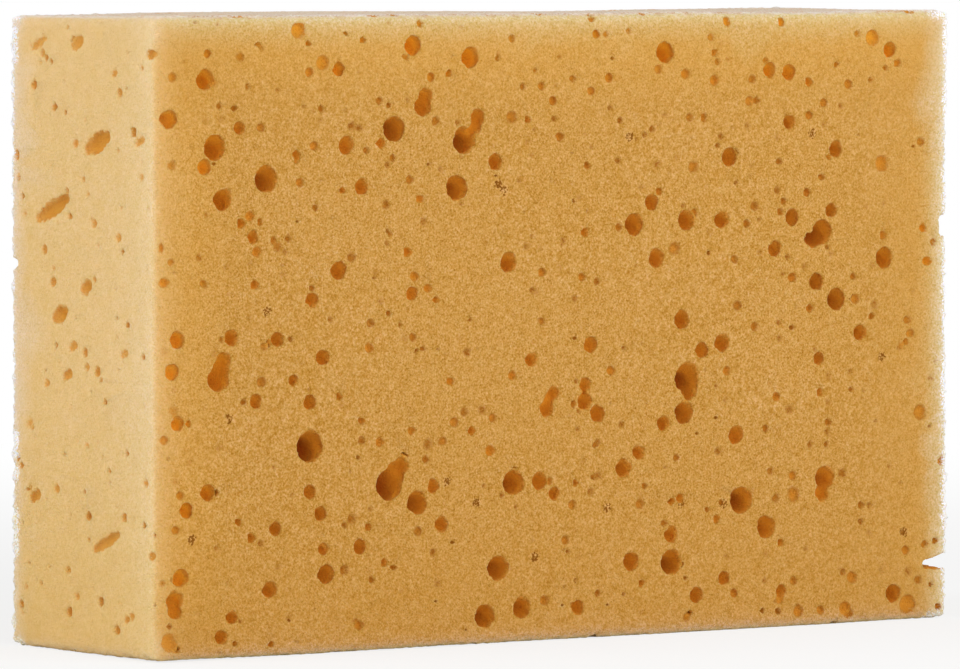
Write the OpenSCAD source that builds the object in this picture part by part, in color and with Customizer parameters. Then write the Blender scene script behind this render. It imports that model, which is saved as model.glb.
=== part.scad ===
// Cleaning sponge: one block of open-cell foam, standing on its long edge.
// X runs along the length, Y through the thickness (front wiping face at -Y), Z up.
// The origin is the centre of the face that it stands on.

/* [Block] */
// Length, left end to right end
block_l = 155; // [150:1:165]
// Thickness, front wiping face to back wiping face
block_t = 43; // [40:1:60]
// Height as it stands
block_h = 100; // [98:1:110]
// Radius of the softened edges
edge_r = 2; // [1:0.5:4]

/* [Pores] */
// Angle at which the drawn-out bubbles climb towards the front face
pore_rise = 22; // [10:1:30]
// Depth of a mouth's bubble below the skin, over its width
mouth_sink = 0.12; // [0.05:0.01:0.2]
// Narrowest scattered pore on the back, top and bottom
scatter_min = 1.8; // [1.5:0.1:2.5]
// Widest scattered pore
scatter_max = 4.5; // [3:0.1:5]

/* [Hidden] */
$fn = 32;

foam_colour = "#d6a55c";
front_y = -block_t / 2;
back_y = block_t / 2;
left_x = -block_l / 2;
right_x = block_l / 2;

// The bubbles are drawn out along this line, which rises towards the front.
rise_dir = [0, -cos(pore_rise), sin(pore_rise)];

// The pole of each bubble's sphere points straight out of the face it opens on.
pole_y = [90, 0, 0];
pole_x = [0, 90, 0];
pole_z = [0, 0, 0];

// A second bubble lies behind each mouth: its width and its step inwards, over the mouth's width.
inner_width = 0.85;
inner_step = 0.5;

// A wide front mouth slopes in from above and from the right: the width from which it does, the
// sloping cap's sphere, its centre above the skin, and its shift to the right and up.
slope_from = 2.6;
slope_width = 1.2;
slope_lift = 0.36;
slope_right = [0, 0.08];
slope_up = [0, 0.15];

// A dimple is the cap of a wider sphere: the sphere's width and its centre above the skin.
dimple_width = 1.13;
dimple_lift = 0.27;

// A faint dimple is a flatter cap, all of one width.
faint_mouth = 1.8;
faint_width = 1.6;
faint_lift = 0.62;

// A small pit's sphere: its least and greatest width, and its centre above the skin over that.
pit_least = 1;
pit_most = 2;
pit_lift = 0.15;

// Bubbles in a tunnel: their spacing over their width, and how much the end ones narrow.
tunnel_pitch = 0.5;
tunnel_taper = 0.4;

// Deep pores on the front face: x, z and width of the mouth.
front_pores = [
    [-75, 84, 3], [-68.5, 90, 3.2], [-66.5, 79.5, 3.9], [-68.5, 76.5, 2.4], [-65, 71.5, 3.4],
    [-73.5, 50, 2.6], [-63.5, 50, 2.6], [-74.5, 45, 2.4], [-66, 43.5, 3.8], [-65.5, 45, 3.2],
    [-65, 46.5, 2.6], [-73.5, 37, 2.3], [-68, 26, 2.8], [-72, 23.5, 2.4], [-73, 13, 2.8],
    [-74, 9.5, 3], [-74, 8, 2.6], [-63.5, 6.5, 2.2], [-65.5, 3.5, 2.2], [-62, 82.5, 2.1],
    [-57, 74.5, 4.1], [-59.5, 65.5, 2], [-48.5, 55.5, 2.4], [-43.5, 60, 2.8], [-55, 49.5, 2.4],
    [-46.5, 46.5, 2.5], [-49, 39.5, 2.4], [-59, 40, 2.3], [-49, 32.5, 5], [-49, 25.5, 2.3],
    [-47, 22, 2.4], [-55.5, 20, 2.3], [-46.5, 16.5, 2], [-46, 12.5, 3], [-56.5, 10.5, 2.6],
    [-43.5, 91.5, 2.2], [-42, 79.5, 2.7], [-52, 43, 1.9], [-39, 73, 2.4], [-33, 82, 4],
    [-27.5, 85.5, 3.2], [-27, 87, 2.6], [-29.5, 95, 3.1], [-34, 26, 4.8], [-33, 27.5, 3.8],
    [-31.5, 29, 2.8], [-28.5, 23, 3.7], [-39.5, 16.5, 2.5], [-29.5, 56, 2.1], [-25.5, 25.5, 2.3],
    [-24, 19.5, 2.5], [-21, 72.5, 3.9], [-18.5, 93, 3.3], [-17, 83.5, 2.6], [-17.5, 82, 2.2],
    [-19.5, 80, 4.2], [-13.5, 76.5, 2.6], [-11, 60.5, 3.1], [-6.5, 45, 2.3], [-2, 39.5, 2.2],
    [-3, 38.5, 2], [-3.5, 37, 2.6], [-10, 25.5, 3.9], [-5, 25.5, 2.8], [-2, 23.5, 2.1],
    [-13, 12, 3.9], [-15.5, 4.5, 3.8], [-8.5, 5.5, 3.3], [19.5, 93.5, 3.6], [17, 69.5, 2.6],
    [13.5, 66, 3.6], [24, 66.5, 3.2], [18, 60.5, 3.1], [23, 50.5, 3], [5, 47, 2.4], [4, 38, 2.9],
    [4, 40.5, 2.3], [6.5, 36, 2.8], [24, 41, 4.7], [24.5, 39, 3], [23.5, 35.5, 3.6],
    [19.5, 34, 2.5], [11.5, 27, 3], [14.5, 29.5, 2.4], [13, 12, 3], [21, 16, 2.7],
    [21, 11.5, 4.1], [26, 6, 2.6], [2.5, 5, 2.4], [44.5, 90, 2.6], [40.5, 90.5, 2.3],
    [44.5, 82, 2.5], [32.5, 76.5, 3], [31, 66.5, 2.8], [45, 66.5, 2.8], [41.5, 61.5, 2.6],
    [27, 45.5, 2.5], [31, 46.5, 2.9], [50.5, 43.5, 2.2], [34, 31.5, 2.8], [35, 21, 4.3],
    [40, 16.5, 3.6], [31.5, 8.5, 2.2], [43, 6, 2], [50, 56, 3], [65, 93.5, 2.6], [54, 77.5, 2.8],
    [53, 67.5, 2.5], [51, 64, 4.2], [48.5, 63, 2.2], [49.5, 62.5, 2.4], [64, 59.5, 3.4],
    [54, 53, 3.7], [59, 47.5, 2.7], [52, 24, 3.6], [51.5, 21.5, 2.6], [66, 4.5, 3]
];

// Shallow dimples on the front face, where a bubble's floor shows: x, z and width.
front_dimples = [
    [-74.5, 90.5, 2], [-62, 93.5, 2], [-76, 48, 2], [-74.3, 39, 2], [-75, 3, 3.4], [-51, 97.5, 3],
    [-46.5, 92.5, 2.7], [-41, 82.5, 1.8], [-58, 43, 2], [-42.5, 13, 2], [-41, 21, 2],
    [-26.5, 32, 2.6], [-10.5, 83.5, 2.4], [-7.5, 63, 1.8], [-19, 46.5, 1.7], [-4, 6.5, 2],
    [25.3, 75, 2.2], [21.5, 62, 2.6], [18, 75.5, 1.8], [22, 76.5, 1.8], [6.5, 26, 1.8],
    [24, 2.5, 1.8], [37, 89, 1.8], [36.5, 85.5, 2], [37.5, 68.5, 1.9], [42, 71, 1.7],
    [34, 52.5, 2.1], [45.5, 21.5, 2.9], [46.5, 2.5, 2.3], [51, 2.5, 1.9], [61.5, 95.5, 3],
    [63.5, 75, 3], [71.5, 34, 3], [67.5, 45, 2], [62, 52, 1.9], [58, 53, 2], [55.5, 24.5, 2.2],
    [57.5, 7.5, 2.3], [69, 2.5, 3.6], [56, 2.5, 2.6], [69, 8, 2]
];

// Narrow pores on the front face, all of one width: x and z.
pinhole_width = 1.6;
pinholes = [
    [-68, 94], [-49, 91], [-48, 79.5], [-74.5, 77], [-58, 82.5], [-69.5, 62.5], [-68.5, 58.5],
    [-76, 34.5], [-74, 20.5], [-57.5, 48.5], [-37.5, 51.5], [-34.5, 70], [-26, 90], [-25, 83],
    [-24, 75.5], [-23.5, 32.5], [-21.5, 35.5], [-19.5, 37], [-14, 36], [-28.5, 18.5], [-25.5, 15],
    [-4.5, 51], [-10.5, 96], [-2.5, 86], [6, 96.5], [5, 87.5], [8.5, 89.5], [24.5, 83], [11, 34],
    [5, 23.5], [1.5, 21.5], [0, 16], [30.5, 29], [33.5, 60], [48, 70.5], [48.5, 83], [51.5, 85],
    [56.5, 88], [42, 37.5], [33.5, 6], [45.5, 7.5], [42, 21], [49, 29.5], [41, 25.5],
    [52.5, 31.5], [69.5, 47], [71.5, 78.5], [32, 42], [68.5, 11.5]
];

// Faint dimples on the front face: x and z.
faint_dimples = [
    [-68.5, 83.5], [-65.5, 84], [-64.5, 61], [-60, 61.5], [-54, 59.5], [-66.5, 48.5],
    [-75.5, 68], [-42.5, 71], [-30.5, 86.5], [-36.5, 59.5], [-35.5, 55], [-31, 49],
    [-63.5, 75.5], [-47, 83.5], [-12.5, 90.5], [-9, 73.5], [-7.5, 79.5], [2.5, 70.5],
    [-5, 62.5], [-1, 59.5], [-5.5, 55.5], [3.5, 50], [19.5, 83.5], [20.5, 74.5], [15, 72],
    [30.5, 94.5], [36, 81.5], [42, 79.5], [51.5, 81.5], [55, 84.5], [61, 84.5], [37, 75],
    [28.5, 64.5], [38.5, 61], [53, 60.5], [61.5, 58.5], [47.5, 58.5], [70, 54], [-66, 33],
    [-71.5, 31], [-74, 28], [-43, 39], [-55, 14], [-38, 12.5], [-53, 6], [3.5, 28.5],
    [15, 22.5], [2.5, 13], [-20.5, 48.5], [16.5, 45.5], [42.5, 47], [52.5, 40.5], [57, 41],
    [37, 22.5], [32, 12], [40, 12], [61, 14.5], [68, 14.5], [47.5, 19], [63.5, 8.5]
];

// Narrow pores on the left end: y and z.
left_pinholes = [
    [-11, 88], [-17, 75], [-3.5, 67.5], [-10.5, 65.5], [11, 63], [10.5, 42], [7.5, 25.5], [-20, 16.5]
];

// Bubbles drawn out along the left end: y and z of the middle, width, and length.
left_tunnels = [
    [1.5, 95.5, 2, 4.5], [12.5, 95.5, 1.6, 5.5], [-20, 94, 2.4, 3], [-4.5, 80, 3.2, 9],
    [-16.5, 80.5, 1.6, 4], [8.5, 69.5, 2.8, 11.5], [-1, 57.5, 2.4, 4.5], [8.5, 58, 2, 2.4],
    [6.5, 53, 2.8, 6], [-12, 47.5, 2.2, 2.8], [3, 48, 1.8, 3.5], [4.5, 43.5, 2.8, 3.8],
    [15.5, 35.5, 1.4, 3.5], [14, 24, 3, 4.5], [-7, 18, 1.9, 9], [-13.5, 6.5, 2.2, 3.8],
    [-9.5, 91, 2, 2.5]
];

// Bubbles drawn out along the right end.
right_tunnels = [
    [-8, 86, 3, 7], [6, 78, 2.4, 5], [-3, 58, 2.8, 8], [12, 62, 2, 4], [-12, 38, 2.2, 5],
    [5, 30, 3.2, 6], [14, 16, 2.4, 5], [-6, 16, 2, 4], [16, 92, 2, 4], [2, 43, 2, 3]
];

// Bites through an upright edge: end (-1 left), face (-1 front), z, reach along the length,
// height of the bottom, and how far the walls flare above and below it.
corner_bites = [
    [1, -1, 64.5, 2, 3, 0.6, 0.6], [1, -1, 48.5, 1.1, 1, 1.2, 1.2],
    [1, -1, 9, 5.4, 1.2, 1.4, 0.6], [-1, 1, 60.5, 1.8, 1.2, 0.6, 0.6]
];

// A bite is cut by a disc whose axis stands this far off the end, over the bite's reach.
bite_lean = 0.5;

// Radius left whole around the middle of the back, top and bottom faces.
clear_r = 6;

// Scattered pores keep to a square of a jittered grid, so that they stay apart.
// Most are narrow and a few are wide. The middle of each face stays whole.
function scatter(len_u, len_v, count_u, count_v, seed, least = scatter_min, most = scatter_max) =
    let (
        roll = rands(0, 1, 3 * count_u * count_v, seed),
        cell_u = len_u / count_u,
        cell_v = len_v / count_v
    )
    [for (i = [0:count_u - 1], j = [0:count_v - 1])
        let (
            k = 3 * (i * count_v + j),
            u = -len_u / 2 + cell_u * (i + 0.2 + 0.6 * roll[k]),
            v = -len_v / 2 + cell_v * (j + 0.2 + 0.6 * roll[k + 1])
        )
        if (norm([u, v]) > clear_r)
            [u, v, least + (most - least) * pow(roll[k + 2], 3)]];

back_pores = scatter(block_l, block_h, 10, 7, 11);
top_pores = scatter(block_l, block_t, 9, 2, 23);
bottom_pores = scatter(block_l, block_t, 8, 2, 37);
back_pinholes = scatter(block_l, block_h, 8, 5, 41);
right_pinholes = scatter(block_t, block_h, 3, 6, 43);
top_pinholes = scatter(block_l, block_t, 7, 2, 47);

// Small pits over all six faces.
function pits(len_u, len_v, count_u, count_v, seed) =
    scatter(len_u, len_v, count_u, count_v, seed, pit_least, pit_most);

front_pits = pits(block_l, block_h, 11, 7, 61);
back_pits = pits(block_l, block_h, 9, 6, 63);
left_pits = pits(block_t, block_h, 3, 7, 65);
right_pits = pits(block_t, block_h, 3, 6, 67);
top_pits = pits(block_l, block_t, 10, 3, 69);
bottom_pits = pits(block_l, block_t, 9, 2, 71);

// The block with all its edges softened: three outlines, one along each axis, meet.
module soft_outline(a, b) {
    square([a - 2 * edge_r, b], center = true);
    square([a, b - 2 * edge_r], center = true);
    for (sx = [-1, 1], sy = [-1, 1])
        translate([sx * (a / 2 - edge_r), sy * (b / 2 - edge_r)]) circle(r = edge_r);
}

module soft_block() {
    intersection() {
        linear_extrude(block_h) soft_outline(block_l, block_t);
        translate([0, back_y, block_h / 2]) rotate([90, 0, 0])
            linear_extrude(block_t) soft_outline(block_l, block_h);
        translate([left_x, 0, block_h / 2]) rotate([90, 0, 90])
            linear_extrude(block_l) soft_outline(block_t, block_h);
    }
}

module bubble(at, d, pole) {
    translate(at) rotate(pole) sphere(d = d);
}

// A pore whose mouth opens on a face: dir points inwards along the bubbles' line.
module deep_pore(mouth, d, out, dir, pole) {
    at = mouth - mouth_sink * d * out;
    bubble(at, d, pole);
    bubble(at + inner_step * d * dir, inner_width * d, pole);
}

// A cap-shaped hollow.
module dimple(mouth, d, out, pole) {
    bubble(mouth + dimple_lift * d * out, dimple_width * d, pole);
}

// A small shallow pit: the cap of a sphere whose centre is just off the skin.
module pit(at, d, out, pole) {
    bubble(at + pit_lift * d * out, d, pole);
}

// A row of bubbles that run into each other along the skin.
module tunnel(middle, d, length, out, pole) {
    steps = max(1, round((length - d) / (tunnel_pitch * d)));
    for (i = [0:steps]) {
        t = 2 * i / steps - 1;
        bubble(middle - mouth_sink * d * out + t * (length - d) / 2 * rise_dir,
            d * (1 - tunnel_taper * t * t), pole);
    }
}

// The cap that slopes a wide front mouth.
module slope(mouth, d, right, up) {
    bubble(mouth + d * [right, -slope_lift, up], slope_width * d, pole_y);
}

module front_openings() {
    out = [0, -1, 0];
    right = rands(slope_right[0], slope_right[1], len(front_pores), 5);
    up = rands(slope_up[0], slope_up[1], len(front_pores), 3);
    for (i = [0:len(front_pores) - 1]) {
        p = front_pores[i];
        mouth = [p[0], front_y, p[1]];
        deep_pore(mouth, p[2], out, -rise_dir, pole_y);
        if (p[2] >= slope_from) slope(mouth, p[2], right[i], up[i]);
    }
    for (p = front_dimples) dimple([p[0], front_y, p[1]], p[2], out, pole_y);
    for (p = faint_dimples)
        bubble([p[0], front_y - faint_lift * faint_mouth, p[1]], faint_width * faint_mouth, pole_y);
    for (p = pinholes) bubble([p[0], front_y, p[1]], pinhole_width, pole_y);
}

module back_openings() {
    for (p = back_pores)
        deep_pore([p[0], back_y, p[1] + block_h / 2], p[2], [0, 1, 0], rise_dir, pole_y);
    for (p = back_pinholes) bubble([p[0], back_y, p[1] + block_h / 2], pinhole_width, pole_y);
}

module end_openings() {
    for (p = left_tunnels) tunnel([left_x, p[0], p[1]], p[2], p[3], [-1, 0, 0], pole_x);
    for (p = right_tunnels) tunnel([right_x, p[0], p[1]], p[2], p[3], [1, 0, 0], pole_x);
    for (p = left_pinholes) bubble([left_x, p[0], p[1]], pinhole_width, pole_x);
    for (p = right_pinholes) bubble([right_x, p[0], p[1] + block_h / 2], pinhole_width, pole_x);
}

module edge_openings() {
    for (p = top_pores) dimple([p[0], p[1], block_h], p[2], [0, 0, 1], pole_z);
    for (p = top_pinholes) bubble([p[0], p[1], block_h], pinhole_width, pole_z);
    for (p = bottom_pores) dimple([p[0], p[1], 0], p[2], [0, 0, -1], pole_z);
}

// The fine pitting between the pores.
module small_pits() {
    mid_z = block_h / 2;
    for (p = front_pits) pit([p[0], front_y, p[1] + mid_z], p[2], [0, -1, 0], pole_y);
    for (p = back_pits) pit([p[0], back_y, p[1] + mid_z], p[2], [0, 1, 0], pole_y);
    for (p = left_pits) pit([left_x, p[0], p[1] + mid_z], p[2], [-1, 0, 0], pole_x);
    for (p = right_pits) pit([right_x, p[0], p[1] + mid_z], p[2], [1, 0, 0], pole_x);
    for (p = top_pits) pit([p[0], p[1], block_h], p[2], [0, 0, 1], pole_z);
    for (p = bottom_pits) pit([p[0], p[1], 0], p[2], [0, 0, -1], pole_z);
}

// A bite's walls flare from a flat bottom out to its mouth.
module corner_bite(end, face, z, reach, flat, up, down) {
    deep_r = (1 + bite_lean) * reach;
    mouth_r = bite_lean * reach;
    translate([end * (block_l / 2 + mouth_r), face * block_t / 2, z]) {
        cylinder(h = flat, r = deep_r, center = true);
        translate([0, 0, flat / 2]) cylinder(h = up, r1 = deep_r, r2 = mouth_r);
        translate([0, 0, -flat / 2 - down]) cylinder(h = down, r1 = mouth_r, r2 = deep_r);
    }
}

module corner_openings() {
    for (b = corner_bites) corner_bite(b[0], b[1], b[2], b[3], b[4], b[5], b[6]);
}

module foam_block() {
    color(foam_colour) difference() {
        soft_block();
        front_openings();
        back_openings();
        end_openings();
        edge_openings();
        corner_openings();
        small_pits();
    }
}

foam_block();
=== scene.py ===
"""Looks of the cleaning sponge: one block of open-cell foam on a pale studio floor.

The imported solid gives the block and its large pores. This script turns it into a finer skin
with ragged pore mouths, small pits and fuzzy edges, and gives it the finish of the foam.
Lengths are in metres, with +Z up, -Y out of the front wiping face and +X to the right.
"""

import logging
import math
from dataclasses import dataclass, field
from enum import Enum
from typing import ClassVar

import bpy
import numpy as np
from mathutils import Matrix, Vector


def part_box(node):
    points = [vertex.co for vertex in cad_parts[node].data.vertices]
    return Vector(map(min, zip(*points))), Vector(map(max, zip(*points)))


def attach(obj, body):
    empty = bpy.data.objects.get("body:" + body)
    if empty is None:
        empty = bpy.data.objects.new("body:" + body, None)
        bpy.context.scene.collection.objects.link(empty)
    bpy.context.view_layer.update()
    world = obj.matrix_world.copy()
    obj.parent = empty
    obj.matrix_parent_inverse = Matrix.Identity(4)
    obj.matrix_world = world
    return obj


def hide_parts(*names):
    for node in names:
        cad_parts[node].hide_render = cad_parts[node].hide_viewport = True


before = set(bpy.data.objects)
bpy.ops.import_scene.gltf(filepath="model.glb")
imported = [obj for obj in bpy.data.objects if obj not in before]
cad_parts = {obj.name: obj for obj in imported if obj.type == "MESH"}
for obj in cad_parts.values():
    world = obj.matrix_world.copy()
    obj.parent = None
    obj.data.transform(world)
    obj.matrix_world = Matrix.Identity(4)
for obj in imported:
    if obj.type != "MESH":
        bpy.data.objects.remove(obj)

LOG = logging.getLogger("sponge")
MM = 0.001
FOAM_NODE = "foam_block"
BAKE_MAP = "OFBake"
INNER_GROUP = "inner_walls"

Colour = tuple[float, float, float]
Place = tuple[float, float, float]


class Mark(Enum):
    """What is stored for each point of the foam's skin."""

    DEPTH = "pore_depth"
    HOLLOW = "pore_reach"
    WIDE = "wide_pore"
    # Partly the cut foam's own paler colour and partly a painted sheen.
    PALE = "pale"
    # A painted glow of light through the right end, the bottom and the top.
    GLOW = "glow"
    # A painted sheen along the edges and on the top.
    RIM = "rim"
    LIT = "lit"
    # A painted glow of light on the left end, most along its front edge.
    END = "end"
    FRAY = "fray"
    CALM = "calm"


class Side(Enum):
    """A face of the block, as the axis that it looks along and the way it looks."""

    LEFT = (0, -1)
    RIGHT = (0, 1)
    FRONT = (1, -1)
    BACK = (1, 1)
    BOTTOM = (2, -1)
    TOP = (2, 1)

    @property
    def axis(self) -> int:
        """Number of the axis that the face looks along."""
        return self.value[0]

    @property
    def sign(self) -> int:
        """1 where the face looks up its axis, and -1 where it looks down it."""
        return self.value[1]

    @property
    def across(self) -> tuple[int, int]:
        """Numbers of the two axes that lie in the face."""
        return {0: (1, 2), 1: (0, 2), 2: (0, 1)}[self.axis]


def linear(colour: Colour) -> Colour:
    """Turns a display colour into the linear one that shaders take.

    Args:
        colour: Red, green and blue from 0 to 1, as seen on a screen.

    Returns:
        The same colour in linear light.
    """
    return tuple(c / 12.92 if c <= 0.04045 else ((c + 0.055) / 1.055) ** 2.4 for c in colour)


def smooth_step(low: float, high: float, value: np.ndarray) -> np.ndarray:
    """Rises smoothly from 0 at low to 1 at high.

    Args:
        low: Value at which the rise starts.
        high: Value at which it ends. It may be below low, and then it falls.
        value: The values to read it at.

    Returns:
        Numbers from 0 to 1, one for each value.
    """
    t = np.clip((value - low) / (high - low), 0, 1)
    return t * t * (3 - 2 * t)


@dataclass(frozen=True)
class Lattice:
    """Random values on a cubic lattice, which repeats far away and is the same each time."""

    pitch: float
    seed: int
    count: int = 48

    def draw(self, layers: int) -> np.ndarray:
        """Draws the lattice's values.

        Args:
            layers: How many values each lattice point has.

        Returns:
            An array of count x count x count x layers values from 0 to 1.
        """
        return np.random.default_rng(self.seed).random((self.count,) * 3 + (layers,))

    def noise(self, points: np.ndarray) -> np.ndarray:
        """Reads smooth noise with features about one pitch wide.

        Args:
            points: Places, one a row.

        Returns:
            One value from -1 to 1 for each place.
        """
        values = 2 * self.draw(1)[..., 0] - 1
        scaled = points / self.pitch
        corner = np.floor(scaled).astype(int)
        part = scaled - corner
        part = part * part * (3 - 2 * part)
        total = np.zeros(len(points))
        for step in np.ndindex(2, 2, 2):
            weight = np.prod(np.where(step, part, 1 - part), axis=1)
            i, j, k = ((corner + step) % self.count).T
            total += weight * values[i, j, k]
        return total

    def carve(self, points: np.ndarray, normals: np.ndarray, radii: tuple[float, float],
              rarity: float) -> np.ndarray:
        """Finds how far each point of a skin sinks to reach the far wall of a random bubble.

        Args:
            points: Places on the skin, one a row.
            normals: Outward directions there.
            radii: Smallest and largest radius of the bubbles, at most one pitch.
            rarity: Power that makes wide bubbles rarer, 1 for none.

        Returns:
            The depth to sink at each point, 0 outside every bubble.
        """
        jitter = self.draw(4)
        home = np.floor(points / self.pitch).astype(int)
        depth = np.zeros(len(points))
        for step in np.ndindex(3, 3, 3):
            cell = home + step - 1
            i, j, k = (cell % self.count).T
            roll = jitter[i, j, k]
            radius = radii[0] + (radii[1] - radii[0]) * roll[:, 3] ** rarity
            away = points - (cell + roll[:, :3]) * self.pitch
            inside = radius ** 2 - np.einsum("ij,ij->i", away, away)
            along = np.einsum("ij,ij->i", away, normals)
            sunk = along + np.sqrt(np.maximum(inside + along ** 2, 0))
            depth = np.where(inside > 0, np.maximum(depth, sunk), depth)
        return depth


@dataclass
class Block:
    """The plain block with softened edges that the foam was cut to."""

    low: np.ndarray
    high: np.ndarray
    edge_radius: float = 2 * MM

    @property
    def centre(self) -> np.ndarray:
        """Middle of the block."""
        return (self.low + self.high) / 2

    @property
    def half(self) -> np.ndarray:
        """Half the block's length, thickness and height."""
        return (self.high - self.low) / 2

    def inset(self, points: np.ndarray) -> np.ndarray:
        """Measures how far points lie inside the nearer face along each axis.

        Args:
            points: Places, one a row.

        Returns:
            Three distances for each place, for X, Y and Z.
        """
        return self.half - np.abs(points - self.centre)

    def face_distance(self, points: np.ndarray, side: Side) -> np.ndarray:
        """Measures how far points lie inside one face.

        Args:
            points: Places, one a row.
            side: The face.

        Returns:
            One distance for each place.
        """
        face = (self.high if side.sign > 0 else self.low)[side.axis]
        return (face - points[:, side.axis]) * side.sign

    def depth(self, points: np.ndarray) -> np.ndarray:
        """Measures how far points lie below the softened skin.

        Args:
            points: Places, one a row.

        Returns:
            One distance for each place, below 0 outside the block.
        """
        near = self.edge_radius - self.inset(points)
        outside = np.linalg.norm(np.maximum(near, 0), axis=1)
        return self.edge_radius - outside - np.minimum(near.max(axis=1), 0)

    def share(self, points: np.ndarray) -> np.ndarray:
        """Gives each place as shares of the way from the middle to the faces, from -1 to 1."""
        return (points - self.centre) / self.half

    def edge_distance(self, points: np.ndarray) -> np.ndarray:
        """Measures how far points lie from the nearest edge between two faces.

        Args:
            points: Places on or near the skin, one a row.

        Returns:
            One distance for each place.
        """
        return np.sort(self.inset(points), axis=1)[:, 1]


@dataclass
class Atlas:
    """The flat layout that takes the block's six faces into one square."""

    block: Block
    gap: float = 2 * MM
    overhang_scale: float = 0.36

    def corners(self) -> tuple[dict[Side, tuple[float, float]], float, float]:
        """Places each face in the square.

        Returns:
            The lowest corner of each face's patch, the height at which the small row of
            overhanging walls starts, and the side of the square.
        """
        length, thickness, height = 2 * self.block.half
        second = length + 2 * self.gap
        third = second + thickness + self.gap
        right = 2 * height + 3 * self.gap
        places = {
            Side.FRONT: (self.gap, self.gap),
            Side.BACK: (height + 2 * self.gap, self.gap),
            Side.TOP: (right, self.gap),
            Side.BOTTOM: (self.gap, second),
            Side.LEFT: (length + 2 * self.gap, second),
            Side.RIGHT: (length + 2 * self.gap, third),
        }
        return places, third, length + height + 3 * self.gap

    def turned(self, side: Side) -> bool:
        """Tells whether a face's longer way lies up the square."""
        return side in (Side.FRONT, Side.BACK, Side.TOP, Side.LEFT, Side.RIGHT)

    def lay(self, points: np.ndarray, sides: np.ndarray, hidden: np.ndarray) -> np.ndarray:
        """Takes points of the skin to the square.

        Args:
            points: Places, one a row.
            sides: Number of the face that each belongs to, in the order of Side.
            hidden: True for those on walls that the face's own patch can't show.

        Returns:
            Two coordinates from 0 to 1 for each place.
        """
        places, small_row, span = self.corners()
        flat = np.zeros((len(points), 2))
        reach = self.gap
        for number, side in enumerate(Side):
            first, second = side.across
            if self.turned(side):
                first, second = second, first
            patch = points[:, (first, second)] - self.block.low[[first, second]]
            plain = (sides == number) & ~hidden
            flat[plain] = patch[plain] + places[side]
            under = (sides == number) & hidden
            flat[under] = patch[under] * self.overhang_scale + (reach, small_row)
            reach += 2 * self.block.half[first] * self.overhang_scale + self.gap
        return flat / span


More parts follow.
